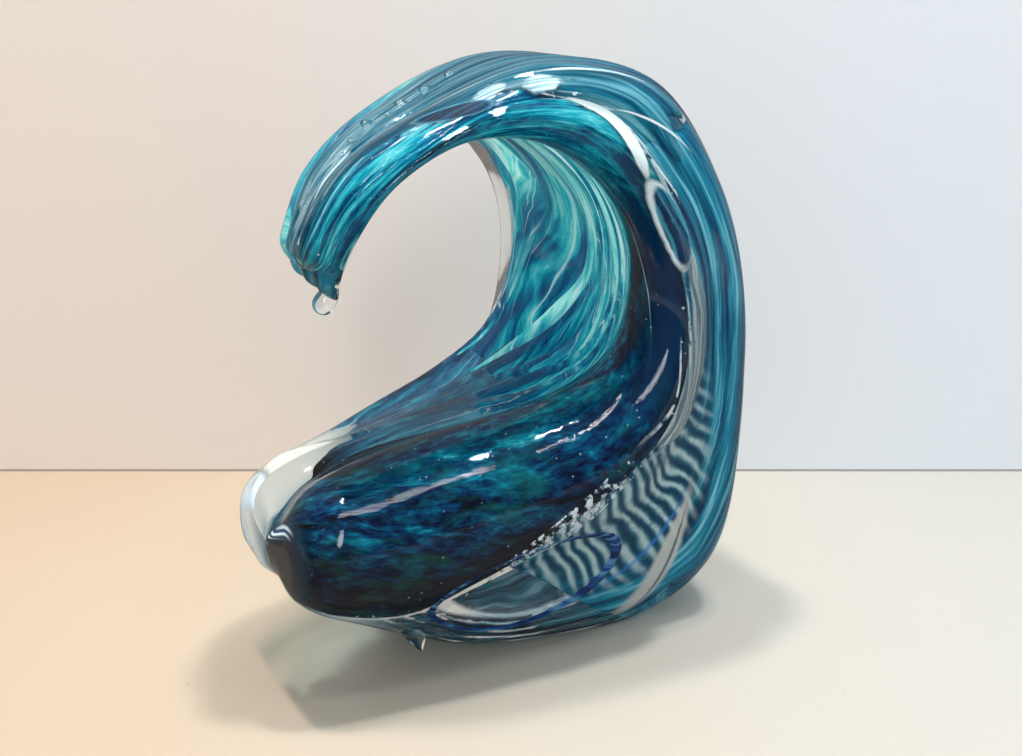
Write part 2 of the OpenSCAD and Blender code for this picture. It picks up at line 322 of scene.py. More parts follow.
def ramp(factor, *stops):
    """Colours at places along a factor"""
    made = node("ValToRGB", {0: factor})
    elements = made.socket.node.color_ramp.elements
    while len(elements) < len(stops):
        elements.new(0.5)
    for element, (place, colour) in zip(elements, stops):
        element.position, element.color = place, tone(colour)
    return made


def mixed(factor, a, b):
    return node("Mix", {0: factor, 6: a, 7: b}, 2, data_type="RGBA")


def fitted(value, low, high):
    """0 at low and 1 at high, with a soft step between"""
    return node("MapRange", {0: value, 1: low, 2: high}, interpolation_type="SMOOTHSTEP")


def on_flow():
    """t along the wave and the share of a turn round it"""
    t = node("SeparateXYZ", {0: node("UVMap", uv_map="flow")})
    return t, t.twin(1)


def here():
    """The place in the piece"""
    return node("TexCoord", out="Object")


def noise(scale, detail=2.0, rough=0.5):
    return node("TexNoise", {"Vector": here(), "Scale": scale, "Detail": detail, "Roughness": rough})


def effect(name, inputs, outputs, worked):
    """A node group for an effect that several glasses share. worked gives its outputs for its inputs."""
    tree = bpy.data.node_groups.new(name, "ShaderNodeTree")
    trees.append(tree)
    for title, default in inputs.items():
        socket = tree.interface.new_socket(title, in_out="INPUT", socket_type="NodeSocketFloat")
        socket.default_value = default
    for title in outputs:
        tree.interface.new_socket(title, in_out="OUTPUT", socket_type="NodeSocketFloat")
    given = tree.nodes.new("NodeGroupInput").outputs
    results = worked(*on_flow(), {title: Value(given[title]) for title in inputs})
    ends = tree.nodes.new("NodeGroupOutput").inputs
    for title, value in zip(outputs, results):
        tree.links.new(value.socket, ends[title])
    return tree


def streaks(t, turn, given):
    """Streaks that follow the flow of the glass"""
    slow = node("CombineXYZ", {0: t * 11, 1: turn * 9, 2: given["Shift"]})
    sway = node("TexNoise", {"Vector": slow, "Scale": 1.0, "Detail": 2.0})
    turn = turn + (sway - 0.5) * given["Wander"]
    drawn = node("CombineXYZ", {0: t * given["Along"], 1: turn * given["Across"], 2: given["Shift"]})
    value = node("TexNoise", {"Vector": drawn, "Scale": 1.0, "Detail": 5.0, "Roughness": 0.58})
    return [fitted(value, given["Low"], given["High"])]


def mottle(t, turn, given):
    """Melted frit: clouds of colour and a few bright flecks"""
    drawn = t * (WAVE_RUN * MM) / given["Stretch"]
    at = node("CombineXYZ", {0: drawn, 1: turn * (GIRTH * MM), 2: given["Shift"]})
    value = node("TexNoise", {
        "Vector": at, "Scale": given["Scale"], "Detail": 8.0, "Roughness": 0.66, "Distortion": 0.7})
    clouds = node("MapRange", {0: value, 1: given["Low"], 2: given["High"]})
    cells = node("TexVoronoi", {"Vector": here(), "Scale": 620.0}, "Distance")
    chosen = maths("GREATER_THAN", node("SeparateColor", {0: cells.twin("Color")}), 0.86)
    return clouds, fitted(cells, 0.16, 0.06) * chosen


def patch(t, turn, given):
    """A soft-edged oval on the wave: centre, half sizes in mm, and tilt in degrees"""
    x, y = (t - given["Along"]) * WAVE_RUN, (turn - given["Turn"] / 360) * GIRTH
    tilt = maths("RADIANS", given["Tilt"])
    c, s = maths("COSINE", tilt), maths("SINE", tilt)
    far, off = (x * c + y * s) / given["Long"], (y * c - x * s) / given["Wide"]
    reach = maths("SQRT", far * far + off * off) + (noise(320.0, 4.0) - 0.5) * given["Torn"]
    return fitted(reach, given["Soft"] + 1.0, 1.0 - given["Soft"]), reach


STREAKS = {"Along": 6.0, "Across": 60.0, "Wander": 0.03, "Shift": 0.0, "Low": 0.32, "High": 0.68}
MOTTLE = {"Scale": 80.0, "Stretch": 2.5, "Shift": 0.0, "Low": 0.3, "High": 0.7}
PATCH = {"Along": 0.5, "Turn": 0.0, "Long": 10.0, "Wide": 3.0, "Tilt": 0.0, "Soft": 0.15, "Torn": 0.0}
EFFECTS = {
    "streaks": effect("flow_streaks", STREAKS, ["Streak"], streaks),
    "mottle": effect("frit_mottle", MOTTLE, ["Mottle", "Flecks"], mottle),
    "patch": effect("flow_patch", PATCH, ["Mask", "Reach"], patch)}


def grouped(which, **values):
    """The first output of a shared effect"""
    return node("Group", values, node_tree=EFFECTS[which])


def blank(name):
    material = bpy.data.materials.new(name)
    material.use_nodes = True
    trees.append(material.node_tree)
    trees[-1].nodes.clear()
    return material


def surfaced(shader):
    node("OutputMaterial", {0: shader})


def lets_lamps_in(shader, colour, share=1.0):
    """Lamps reach what lies behind this glass, tinted by it"""
    path = node("LightPath", out="Is Shadow Ray") * share
    return node("MixShader", {0: path, 1: shader, 2: node("BsdfTransparent", {0: colour})})


def clear_glass(name, tint="f7fcfc", ripple=0.05, bend=1.46):
    material = blank(name)
    fine = grouped("streaks", Along=30.0, Across=110.0, Wander=0.02, Shift=3.0)
    bump = node("Bump", {"Strength": ripple, "Distance": 0.0006, "Height": fine})
    glass = node("BsdfPrincipled", {
        "Base Color": tone(tint), "Roughness": 0.0, "IOR": bend, "Specular IOR Level": 0.25,
        "Transmission Weight": 1.0, "Normal": bump})
    surfaced(lets_lamps_in(glass, (0.82, 0.88, 0.9, 1)))
    return material


def colour_glass(name, colour_of, alpha_of=None, through=0.35, tint="9fd0dc", rough=0.3, glow=0.0):
    """Coloured glass under the casing: dense colour that some light comes through"""
    material = blank(name)
    colour = colour_of()
    # The glow stands for the light that gathers in the thick glass
    values = {"Base Color": colour, "Roughness": rough, "IOR": 1.1, "Emission Color": colour,
              "Emission Strength": glow}
    if alpha_of:
        values["Alpha"] = alpha_of()
    body = node("BsdfPrincipled", values)
    if not alpha_of:
        body = node("MixShader", {0: through, 1: body, 2: node("BsdfTranslucent", {0: colour})})
    surfaced(lets_lamps_in(body, tone(tint), 0.35))
    return material


def veil_glass(name, colour, most, shift):
    """Faint wisps inside clear glass"""
    material = blank(name)
    wisps = grouped("streaks", Along=9.0, Across=46.0, Wander=0.08, Shift=shift, Low=0.52, High=0.8)
    veil = node("BsdfPrincipled", {
        "Base Color": mixed(wisps, tone("5f93a6"), tone(colour)), "Roughness": 0.3, "IOR": 1.1,
        "Alpha": wisps * most})
    surfaced(lets_lamps_in(veil, (0.9, 0.96, 0.97, 1), 0.9))
    return material


# Colours of the gathers
def painted(colour, strength, code, **place):
    """Lays a soft patch of another colour on this one"""
    return mixed(grouped("patch", **place) * strength, colour, tone(code))


def threads(along, across, shift, low=0.6, high=0.66, wander=0.014):
    """Fine drawn threads"""
    return grouped("streaks", Along=along, Across=across, Wander=wander, Shift=shift, Low=low, High=high)


def roll_colour():
    t, turn = on_flow()
    fine = grouped("mottle", Scale=560.0, Stretch=2.6, Shift=2.0)
    frit = grouped("mottle", Scale=210.0, Stretch=3.0)
    broad = grouped("mottle", Scale=70.0, Stretch=3.0, Shift=4.0, Low=0.25, High=0.75)
    value = frit * 0.42 + broad * 0.3 + fine * 0.28
    # Painted light: the back and the crown of the roll are painted lighter where they catch the light
    lit = grouped("patch", Along=0.22, Turn=34.0, Long=70.0, Wide=17.0, Tilt=6.0, Soft=0.95)
    value = value - 0.17 + lit * 0.11
    painted_light_crown = grouped("patch", Along=0.34, Turn=52.0, Long=60.0, Wide=9.0, Tilt=2.0, Soft=0.8, Torn=0.6)
    value = value + painted_light_crown * 0.14
    lines = threads(5.0, 80.0, 1.0, 0.35, 0.7, 0.04)
    value = value + fitted(t, 0.36, 0.5) * ((lines - 0.5) * 0.4)
    colour = ramp(value, (0.22, "06060e"), (0.34, "031434"), (0.44, "033058"), (0.52, "03486a"),
                  (0.6, "056c8a"), (0.69, "0c96aa"), (0.8, "48c0c0"), (0.95, "9fe0d4"))
    green = grouped("mottle", Scale=150.0, Stretch=2.6, Shift=17.0, Low=0.48, High=0.66)
    colour = mixed(green * 0.5, colour, mixed(value, tone("04343a"), tone("1fa08c")))
    # Painted shade: the end of the roll at the toe and its underside are painted dark
    colour = painted(colour, 0.6, "080c18", Along=0.1, Turn=-6.0, Long=24.0, Wide=14.0, Soft=0.8, Torn=1.2)
    colour = painted(colour, 0.85, "0b0a12", Along=0.25, Turn=-4.0, Long=28.0, Wide=5.5, Tilt=22.0,
                     Soft=0.7, Torn=1.5)
    colour = painted(colour, 0.8, "03355f", Along=0.55, Turn=34.0, Long=44.0, Wide=7.0, Tilt=-6.0, Soft=0.8,
                     Torn=0.6)
    bright = ramp(value, (0.16, "044468"), (0.3, "067c98"), (0.44, "1aaaba"), (0.58, "62d0d2"),
                  (0.8, "c4f0ea"))
    colour = mixed(fitted(t, 0.6, 0.72), colour, bright)
    # Painted highlights: thin pale lines along the upper edge of the roll
    edge = grouped("patch", Along=0.58, Turn=43.0, Long=48.0, Wide=3.6, Tilt=-6.0, Soft=0.5)
    colour = mixed(edge * threads(2.0, 330.0, 6.0), colour, tone("d9ecee"))
    return mixed(frit.twin("Flecks"), colour, tone("bfe4e2"))


def lobe_colour():
    frit = grouped("mottle", Scale=150.0, Stretch=3.6, Shift=7.0)
    fine = grouped("mottle", Scale=330.0, Stretch=2.4, Shift=8.0)
    lines = threads(5.0, 60.0, 2.0, 0.35, 0.7, 0.04)
    value = frit * 0.45 + lines * 0.25 + fine * 0.25
    colour = ramp(value, (0.14, "060e1c"), (0.3, "06264a"), (0.44, "06547a"), (0.58, "1488a2"),
                  (0.78, "66bcc6"))
    colour = painted(colour, 0.45, "7897aa", Along=0.33, Turn=105.0, Long=34.0, Wide=14.0, Tilt=-8.0,
                     Soft=0.9, Torn=1.0)
    colour = mixed(threads(2.5, 240.0, 19.0) * 0.5, colour, tone("b9d6dc"))
    colour = painted(colour, 1.0, "150d0c", Along=0.14, Turn=95.0, Long=16.0, Wide=44.0, Soft=0.6, Torn=0.6)
    return mixed(frit.twin("Flecks"), colour, tone("a9d8d8"))


def face_tone(shift, lift):
    t, turn = on_flow()
    wide = threads(3.6, 50.0, shift, 0.3, 0.7, 0.04)
    fine = threads(6.0, 190.0, shift + 5, 0.3, 0.7, 0.02)
    dabs = grouped("mottle", Scale=200.0, Stretch=4.0, Shift=shift)
    fold = node("Attribute", out="Fac", attribute_name="fold")
    value = wide * 0.45 + fine * 0.3 + dabs * 0.25
    # Painted shade: deeper blue in the trough, towards the far edge and in the valleys between the flow ridges;
    # painted light: paler over the roof
    trough = fitted(t, 0.53, 0.36)
    far = fitted(turn, 0.31, 0.4)
    roof = fitted(t, 0.56, 0.74)
    shade = trough * 0.13 + far * 0.2
    value = value - shade + roof * 0.08 - fold * 0.2 + lift
    colour = ramp(value, (0.08, "04305c"), (0.2, "04567e"), (0.32, "067e9c"), (0.43, "14a4b6"),
                  (0.54, "3cc4ca"), (0.66, "84dcd6"), (0.8, "c4f0ea"), (0.93, "f0fbf8"))
    # Painted shade: the valleys between the flow ridges are tinted grey blue
    colour = mixed(fold * 0.4, colour, tone("2f6a90"))
    return mixed(threads(2.5, 260.0, shift + 2) * 0.7, colour, tone("e4f2f1"))


def face_colour():
    return face_tone(0.0, 0.04)


def cane_colour():
    return face_tone(9.0, 0.2)


def back_lines():
    lines = grouped("streaks", Along=6.0, Across=44.0, Wander=0.06, Shift=12.0)
    fine = threads(5.0, 150.0, 14.0, 0.3, 0.7, 0.03)
    value = lines * 0.72 + fine * 0.28
    return ramp(value, (0.12, "04284a"), (0.36, "065c7a"), (0.6, "1488a2"), (0.88, "84c6d0"))


def back_colour():
    t, turn = on_flow()
    colour = back_lines()
    # Optic ribs under the seam, as pale stripes
    run = t * RIBS_ALONG + turn * RIBS_ROUND + noise(45.0) * 2.8
    stripe = maths("SINE", run * (2 * math.pi)) * 0.42 + 0.5
    stripes = ramp(stripe, (0.1, "0a3a54"), (0.36, "276478"), (0.6, "6f969f"), (0.88, "b4c6c6"))
    clouds = grouped("mottle", Scale=90.0, Stretch=1.2, Shift=31.0, Low=0.5, High=0.68)
    stripes = mixed(clouds * 0.75, stripes, tone("07486a"))
    panel = grouped("patch", Along=0.41, Turn=2.0, Long=34.0, Wide=20.0, Tilt=14.0, Soft=0.25, Torn=0.2)
    colour = mixed(panel, colour, stripes)
    # A clear crescent under the ribs, with a blue thread along it
    colour = painted(colour, 0.9, "c4c2bc", Along=0.417, Turn=-30.0, Long=18.0, Wide=3.0, Tilt=45.0,
                     Soft=0.3)
    colour = painted(colour, 0.8, "46575c", Along=0.419, Turn=-31.5, Long=14.0, Wide=0.5, Tilt=47.0,
                     Soft=0.4)
    return painted(colour, 0.6, "2f7cc8", Along=0.413, Turn=-18.5, Long=15.0, Wide=0.8, Tilt=26.0, Soft=0.5)


def crest_colour():
    lines = threads(7.0, 40.0, 21.0, 0.32, 0.68, 0.06)
    fine = threads(9.0, 170.0, 22.0, 0.32, 0.68, 0.03)
    value = lines * 0.6 + fine * 0.35
    colour = ramp(value, (0.1, "053c58"), (0.32, "0c647c"), (0.5, "337e92"), (0.68, "7099a6"),
                  (0.9, "c2d4d8"))
    colour = mixed(threads(3.0, 210.0, 25.0) * 0.8, colour, tone("e8f2f4"))
    t, turn = on_flow()
    colour = painted(colour, 0.8, "12284a", Along=0.893, Turn=-41.0, Long=13.0, Wide=4.0, Tilt=-14.0,
                     Soft=0.8, Torn=1.0)
    return mixed(fitted(t, 0.86, 0.71), colour, back_lines())


def frit_colour():
    return ramp(noise(420.0, 5.0), (0.36, "12303f"), (0.42, "7fa4b4"), (0.5, "dfeaf0"), (0.62, "f6f9fa"))


def frit_share():
    t, turn = on_flow()
    clots = noise(460.0, 5.0, 0.62)
    # The frit lies thickest beside the foot window, and is drawn out to a thread above it
    lit = fitted(t, 0.26, 0.31) * fitted(t, 0.4, 0.36)
    thread = threads(2.0, 180.0, 51.0, 0.55, 0.62) * fitted(t, 0.4, 0.46)
    specks = fitted(clots + lit * 0.13, 0.63, 0.67)
    return largest(specks, thread * 0.8)


def plain_lines(*stops, across=90.0):
    """A colour of plain drawn lines"""
    return lambda: ramp(grouped("streaks", Along=8.0, Across=across, Wander=0.05, Shift=30.0), *stops)


def window_glass():
    """Grey blue in the oval window, clear round it, and dark bands under it"""
    material = blank("window glass")
    t, turn = on_flow()
    oval = grouped("patch", Along=0.3, Turn=-17.0, Long=20.0, Wide=12.5, Tilt=-10.0, Soft=0.12)
    streak = threads(9.0, 60.0, 41.0, 0.3, 0.7, 0.12)
    fine = threads(12.0, 200.0, 42.0, 0.3, 0.7, 0.08)
    bent = oval.twin("Reach") + streak * 0.22
    band = maths("SINE", bent * 15.0)
    under = fitted(oval.twin("Reach"), 1.2, 1.4) * fitted(band, -0.9, -0.3)
    under = under * (fitted(turn, -0.36, -0.28) * fitted(t, 0.15, 0.22)) * fitted(t, 0.412, 0.385)
    colour = ramp(fine * 0.5 + streak * 0.5,
                  (0.15, "04203c"), (0.45, "074c6c"), (0.68, "1884a0"), (0.9, "8cc8d4"))
    smear = ramp(streak, (0.1, "04263c"), (0.35, "134a64"), (0.65, "33708a"), (0.9, "7aa8ba"))
    bubble = grouped("patch", Along=0.275, Turn=-10.0, Long=1.6, Wide=1.8, Soft=0.2)
    smear = mixed(bubble, smear, tone("0e8f8c"))
    inside = fitted(oval.twin("Reach"), 0.98, 0.84)
    alpha = largest(inside * 0.86, under * 0.92)
    glass = node("BsdfPrincipled", {
        "Base Color": mixed(inside, colour, smear), "Roughness": 0.25, "IOR": 1.15, "Alpha": alpha})
    surfaced(lets_lamps_in(glass, (0.85, 0.93, 0.95, 1), 0.7))
    return material


def wisps_and_painted_light_glass():
    """Faint wisps, and painted light: the clear toe is painted with the room seen through it and made to glow,
    with painted rings of shadow and caustic light on its far side
    """
    material = blank("wisps and painted room light")
    t, turn = on_flow()
    wisps = threads(9.0, 46.0, 43.0, 0.52, 0.8, 0.08)
    # Painted rings of shadow and caustic light, seen bent through the far side of the toe
    swirl = grouped("patch", Along=0.1, Turn=196.0, Long=13.0, Wide=15.0, Tilt=30.0, Soft=0.3)
    rings = maths("SINE", (swirl.twin("Reach") + wisps * 0.1) * 19.0)
    lines = fitted(rings, -0.2, 0.3) * swirl
    colour = mixed(fitted(rings, 0.4, 0.8), tone("17477e"), tone("e3edf2"))
    # Painted light: the clear toe is painted pale with the room seen through it, and made to glow
    toe = fitted(t, 0.34, 0.15)
    room = ramp(t + wisps * 0.01, (0.05, "bcc8d2"), (0.118, "d0d8dd"),
                (0.126, "6f777c"), (0.134, "d8d3ca"), (0.26, "e6e0d6"))
    around = mixed(toe, tone("a9c8d2"), room)
    colour = mixed(swirl, around, mixed(lines, around, colour))
    alpha = largest(lines * 0.85, wisps * 0.3, toe * 0.75)
    # Painted light: the clear edge of the hollow is painted pale and made to glow, bright against the room
    edge = fitted(t, 0.44, 0.52) * fitted(t, 0.84, 0.74)
    colour = mixed(edge, colour, mixed(wisps, tone("cfd2d2"), tone("f2f5f5")))
    alpha = largest(alpha, edge * 0.55)
    glass = node("BsdfPrincipled", {
        "Base Color": colour, "Roughness": 0.25, "IOR": 1.1, "Alpha": alpha, "Emission Color": colour,
        "Emission Strength": largest(toe, edge) * 0.6})
    surfaced(lets_lamps_in(glass, (0.9, 0.96, 0.97, 1), 0.8))
    return material


# Pieces: the casing first, then what lies in it
def skin_spots(t, angle, p, q):
    s = Section(t)
    r = s.skin(angle) - folds(t, angle, s)
    end = np.minimum(np.clip(t / 0.012, 0, 1), np.clip((1 - t) / 0.02, 0, 1))
    return s.place(angle, r * np.sqrt(1 - (1 - end) ** 2))


def round_trip(p, q):
    """All the way round, with more rows where the ends are domed"""
    return 0.5 - 0.5 * np.cos(math.pi * (0.06 + 0.88 * p)) / math.cos(math.pi * 0.06), -150 + 360 * q


finished(grid_piece(330, 256, round_trip, skin_spots), "clear_casing_glass", "clear_glass",
         clear_glass("clear glass"), "clear_casing", crease=50)


def roll_thick(t, p, q):
    return 4 + 24 * np.sin(math.pi * q)


finished(gather(260, 40, lambda q: (0.07 + 0.035 * q, 0.985),
                lambda t: (seam(t) - 1, Section(t).face_start() + 3), 2.6, roll_thick, rim=2.0),
         "near_roll_colour", "deep_blue_glass",
         colour_glass("deep blue frit glass", roll_colour, through=0.2, glow=0.06), "near_roll_core")


def torn_end(q):
    """The toe lobe's colour starts in a torn edge"""
    jag = 0.012 * np.sin(21 * q) + 0.008 * np.sin(57 * q + 1) + 0.005 * np.sin(131 * q)
    return 0.15 + 0.09 * smooth(0, 0.5, q) + jag, 0.4 + jag


finished(gather(110, 60, torn_end, lambda t: (Section(t).face_start(), Section(t).face_end()), 3.5,
                lambda t, p, q: 4.5 + 9 * np.sin(math.pi * q) * np.clip(2 - 2 * p, 0, 1), rim=1.0),
         "toe_lobe_colour", "navy_glass",
         colour_glass("navy frit glass", lobe_colour, through=0.2, glow=0.16), "toe_lobe_core")

# The pale canes of the face, and how wide each is to a turquoise strip
CANES, CANE_SHARE = 5, 0.35


def face_share(i):
    return (math.ceil(i / 2) + math.floor(i / 2) * CANE_SHARE) / (CANES + 1 + CANES * CANE_SHARE)


def face_part(i):
    """Edges of strip i of the face, turquoise where even and a pale cane where odd"""

    def across(t):
        s = Section(t)
        a0, a1 = s.face_start(), s.face_end()
        low, high = a0 + (a1 - a0) * face_share(i), a0 + (a1 - a0) * face_share(i + 1)
        pinch = (high - low) / 2 * (1 - smooth(0.33, 0.46, t)) * (i % 2)
        return low + pinch * 0.97, high - pinch * 0.97

    return across


def joined(parts):
    """One bmesh of several"""
    whole = parts[0]
    for part in parts[1:]:
        mesh = bpy.data.meshes.new("part")
        part.to_mesh(mesh)
        part.free()
        whole.from_mesh(mesh)
        bpy.data.meshes.remove(mesh)
    return whole


finished(joined([gather(170, 16, (0.35 + 0.025 * math.sin(5 * i), 0.975), face_part(2 * i), 2.9, 4.5, rim=0.5)
                 for i in range(CANES + 1)]),
         "face_colour", "turquoise_glass",
         colour_glass("turquoise glass", face_colour, tint="bfe6ec", glow=0.42), "face_sheet")
finished(joined([gather(170, 8, (0.37 + 0.03 * math.sin(4 * i), 0.975), face_part(2 * i + 1), 2.7, 4.7, rim=0.6)
                 for i in range(CANES)]),
         "face_canes", "pale_cane_glass",
         colour_glass("pale cane glass", cane_colour, tint="d8eef0", glow=0.5), "pale_canes")

finished(gather(260, 12, (0.07, 0.93), lambda t: (seam(t) - 5 - 2 * np.sin(60 * t), seam(t) + 4),
                1.8, 1.6, rim=0.4),
         "seam_frit", "white_frit_glass",
         colour_glass("white frit glass", frit_colour, frit_share), "white_frit_trail")
finished(gather(150, 24, (0.42, 0.7), lambda t: (-150, seam(t) - 22), 4.2, 4.0),
         "back_colour_a", "teal_glass",
         colour_glass("teal glass", back_colour, through=0.4, tint="b4dde4", glow=0.5), "back_sheet")
finished(gather(170, 24, lambda q: (0.385 - 0.095 * q, 0.7),
                lambda t: (seam(t) - 52 * smooth(0.53, 0.39, t) - 24, seam(t) - 0.5), 4.0, 2.5),
         "back_colour_b", "teal_glass", bpy.data.materials["teal glass"])


def ribbon_edges(t):
    """The ribbon hangs below the seam where it begins"""
    hang = 11 * np.sin(math.pi * np.clip((t - 0.43) / 0.2, 0, 1))
    return seam(t) - 3 - hang, seam(t) - 1.5 + 1.5 * np.sin(30 * t)


pale_lines = plain_lines((0.2, "7f9aa6"), (0.5, "c3cfd2"), (0.8, "e4e8e8"), across=140.0)
finished(gather(170, 12, (0.43, 0.74), ribbon_edges, 1.9, 1.6, rim=0.4), "twisted_ribbon", "grey_blue_glass",
         colour_glass("pale ribbon glass", pale_lines, through=0.4), "pale_ribbon")
finished(gather(140, 56, lambda q: (0.7 + 0.014 * np.sin(19 * q) + 0.008 * np.sin(47 * q + 1), 0.985),
                lambda t: (-150, seam(t) - 2), 3.1, 3.2, rim=0.8, wave=0.5),
         "crest_colour", "grey_blue_glass",
         colour_glass("grey blue glass", crest_colour, through=0.4, tint="c4dfe6", glow=0.1), "crest_sheet")

# The oval of the foot window: t, angle, their half sizes, and how far it leans
WINDOW = (0.303, -17, 0.078, 21, 90)


def window_ring(p, q):
    """An oval trail round the foot window"""
    along, angle, long, wide, lean = WINDOW
    turn = 2 * math.pi * p
    grow = 1 + 0.1 * (q - 0.5)
    return along + long * np.cos(turn) * grow, angle + wide * np.sin(turn) * grow + lean * (long * np.cos(turn))


def trail_spots(deep):
    def points(t, angle, p, q):
        s = Section(t)
        low = 3.4 if deep else 2.2 + 1.2 * (2 * q - 1) ** 2
        return s.place(angle, s.skin(angle) - folds(t, angle, s) - low)
    return points


blue_lines = plain_lines((0.2, "0d2f6b"), (0.5, "1f5fb0"), (0.8, "6fb4dc"))
finished(grid_piece(140, 6, window_ring, trail_spots(False), trail_spots(True)), "window_rim",
         "royal_blue_glass", colour_glass("royal blue glass", blue_lines), "window_trail")
finished(gather(120, 72, (0.09, 0.42), lambda t: (-140, seam(t) - 7), 5.0, 3.0),
         "window_veil", "clear_glass", window_glass(), "foot_window")
finished(gather(180, 28, (0.045, 0.93), lambda t: (Section(t).face_end() - 30 * smooth(0.3, 0.2, t) + 1, 209),
                4.2, 3.0),
         "far_edge_veil", "clear_glass", wisps_and_painted_light_glass(), "clear_far_edge")


def heart_spots(t, angle, p, q):
    s = Section(t)
    share = 0.42 + 0.05 * np.sin(9 * t + 0.03 * angle)
    return s.place(angle, s.skin(angle) * share * np.sqrt(np.clip(1 - (2 * p - 1) ** 12, 0, 1)))


finished(grid_piece(120, 72, lambda p, q: (0.08 + 0.8 * p, -150 + 360 * q), heart_spots), "heart_veil",
         "clear_heart_glass", veil_glass("heart wisps", "cfe4ea", 0.3, 45.0), "clear_heart")


def ovals(*spots, torn=0.2):
    """Masks of ovals: along, turn, long, wide, tilt, softness"""
    names = ("Along", "Turn", "Long", "Wide", "Tilt", "Soft")
    return [grouped("patch", Torn=torn, **dict(zip(names, spot))) for spot in spots]


def drop_colour():
    lines = threads(6.0, 90.0, 61.0, 0.35, 0.65, 0.04)
    (inner,) = ovals((0.6205, 19.0, 12.4, 4.1, -12, 0.1))
    inside = ramp(lines, (0.1, "042c54"), (0.5, "075a80"), (0.9, "3c9fb2"))
    return mixed(inner, tone("e2ecee"), inside)


def drop_share():
    outer, inner = ovals((0.622, 20, 14, 4.8, -12, 0.08), (0.6205, 19, 12.4, 4.1, -12, 0.1))
    return outer * (1.0 - inner * 0.25)


finished(gather(60, 24, (0.56, 0.69), lambda t: (4, 38), 1.5, 0.7, rim=0.3), "teardrop_window",
         "grey_blue_glass", colour_glass("teardrop glass", drop_colour, drop_share))


def painted_caustic_arcs():
    """Where nested arcs of painted shadow and caustic light lie low in the toe, and the arcs"""
    (mask,) = ovals((0.036, 34, 6, 8, 0, 0.45))
    reach = grouped("patch", Along=0.09, Turn=26.0, Long=15.0, Wide=22.0).twin("Reach")
    return mask, maths("SINE", reach * 24.0)


# Painted shadow and caustic light, seen bent through the clear toe, as blue and white arcs
def painted_caustic_colour():
    mask, arcs = painted_caustic_arcs()
    t, turn = on_flow()
    room = ramp(t + turn * 0.1, (0.02, "0c1c28"), (0.05, "10283a"), (0.075, "12364a"))
    lines = ramp(arcs * 0.5 + 0.5, (0.1, "0e3a66"), (0.4, "2a78a0"), (0.7, "eef4f6"))
    return mixed(mask, room, lines)


def painted_caustic_share():
    mask, arcs = painted_caustic_arcs()
    t, turn = on_flow()
    around = fitted(turn, 0.2, 0.12) * fitted(t, 0.082, 0.05)
    return largest(mask * 0.9, around * 0.85)


def toe_end(p, q):
    """The first rows close over the end of the toe"""
    return 0.006 + 0.084 * p**1.2, -80 + 200 * q


def toe_spots(deep):
    def points(t, angle, p, q):
        s = Section(t)
        r = s.skin(angle) - folds(t, angle, s) * 0.5 - (2.0 if deep else 1.4)
        return s.place(angle, r * np.sqrt(1 - (1 - np.clip(p / 0.2, 0.01, 1)) ** 2))
    return points


# The painted arcs of shadow and caustic light in the toe, which also glow
finished(grid_piece(60, 60, toe_end, toe_spots(False), toe_spots(True)), "toe_painted_caustic", "royal_blue_glass",
         colour_glass("painted caustic arcs in the toe", painted_caustic_colour, painted_caustic_share, glow=0.25))

# Pale slivers and clear spots in the crest, as the rows that ovals takes; the last sliver, at the tip, is a
# clear opening painted white as a highlight
SLIVERS = ((0.72, 7, 18, 2.2, -25, 0.12), (0.715, -11, 9, 0.6, 40, 0.4), (0.985, -50, 4, 2.5, 60, 0.3))
CLEAR_SPOTS = ((0.829, -22, 5.5, 3, 80, 0.2), (0.795, -18, 6.5, 3.2, 100, 0.2), (0.77, -34, 9, 0.8, 10, 0.4),
               (0.9, -50, 8, 2, -20, 0.3), (0.93, -70, 6, 3, 10, 0.3), (0.968, -55, 5, 4, 20, 0.4),
               (0.955, -92, 5, 4, 0, 0.4))
DARK_SPOT = (0.85, -20, 12, 3, -48, 0.15)
DARK_RIM = (0.85, -20, 12.6, 3.4, -48, 0.1)


def crest_window_colour():
    fine = threads(12.0, 160.0, 71.0, 0.3, 0.7, 0.06)
    dark, rim = ovals(DARK_SPOT, DARK_RIM)
    clear = ramp(fine, (0.1, "3f7c90"), (0.45, "8fb0ba"), (0.85, "d6e0e1"))
    clear = mixed(largest(*ovals(*SLIVERS)), clear, tone("e9efef"))
    deep = ramp(fine, (0.2, "021428"), (0.7, "063c5c"))
    return mixed(dark, mixed(rim, clear, tone("1f7894")), deep)


def crest_window_share():
    return largest(*ovals(*SLIVERS, DARK_RIM), *ovals(*CLEAR_SPOTS, torn=0.9)) * 0.92


finished(gather(150, 70, (0.66, 0.982), lambda t: (-110, 22), 1.4, 0.7, rim=0.3), "crest_windows",
         "grey_blue_glass", colour_glass("crest window glass", crest_window_colour, crest_window_share))

# The fin stands on the far edge of the hollow
FIN_HIGH, FIN_THICK = 6, 1.6


